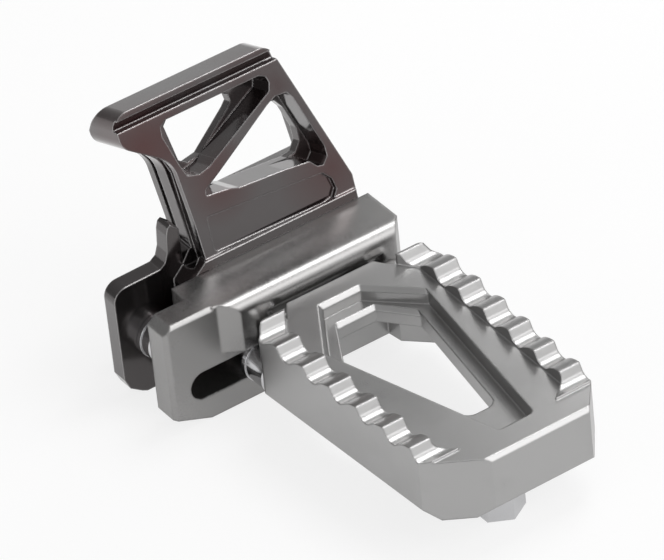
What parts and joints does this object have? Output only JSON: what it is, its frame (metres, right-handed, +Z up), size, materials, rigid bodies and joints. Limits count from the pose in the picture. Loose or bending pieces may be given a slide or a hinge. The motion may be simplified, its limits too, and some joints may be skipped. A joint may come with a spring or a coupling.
{
  "type": "motorcycle folding footpeg with adjustable bracket",
  "caption": "Wide toothed folding footpeg on a slotted sliding base and a leaning windowed bracket that bolts to a motorcycle frame.",
  "frame": {"origin": "on the frame bolt's axis, in the plane of the bracket's flat back face", "axes": "+X outward along the footpeg, +Y along the hinge pin, +Z up"},
  "size_m": [0.1393, 0.0802, 0.0818],
  "materials": {
    "black_anodised": "glossy black anodised",
    "grey_anodised": "satin grey anodised",
    "light_anodised": "satin light grey anodised",
    "steel": "ground",
    "spring_steel": "oiled",
    "plain_steel": "zinc plated",
    "chrome_steel": "polished"
  },
  "bodies": {
    "bracket_body": {"bracket": "black_anodised", "frame_bolt": "chrome_steel", "frame_washer": "chrome_steel", "base_bolt_near": "chrome_steel", "base_washer_near": "chrome_steel", "base_nut_near": "plain_steel", "nut_washer_near": "plain_steel", "base_bolt_far": "chrome_steel", "base_washer_far": "chrome_steel", "base_nut_far": "plain_steel", "nut_washer_far": "plain_steel"},
    "base_body": {"base": "grey_anodised", "hinge_pin": "steel", "hinge_clip": "steel", "thrust_washer_near": "steel", "thrust_washer_far": "steel", "return_spring": "spring_steel"},
    "peg_body": {"peg": "light_anodised", "feeler_bolt": "chrome_steel", "feeler_washer": "chrome_steel"}
  },
  "joints": [
    {"name": "base_slide", "type": "slide", "parent": "bracket_body", "child": "base_body", "axis": [0, 1, 0], "range_m": [0, 0.018]},
    {"name": "peg_fold", "type": "hinge", "parent": "base_body", "child": "peg_body", "pos_m": [0.0396, 0.0388, 0.0066], "axis": [0, -1, 0], "range_deg": [0, 42], "stiffness_Nm_per_rad": 0.15, "springref_deg": -68.75}
  ]
}
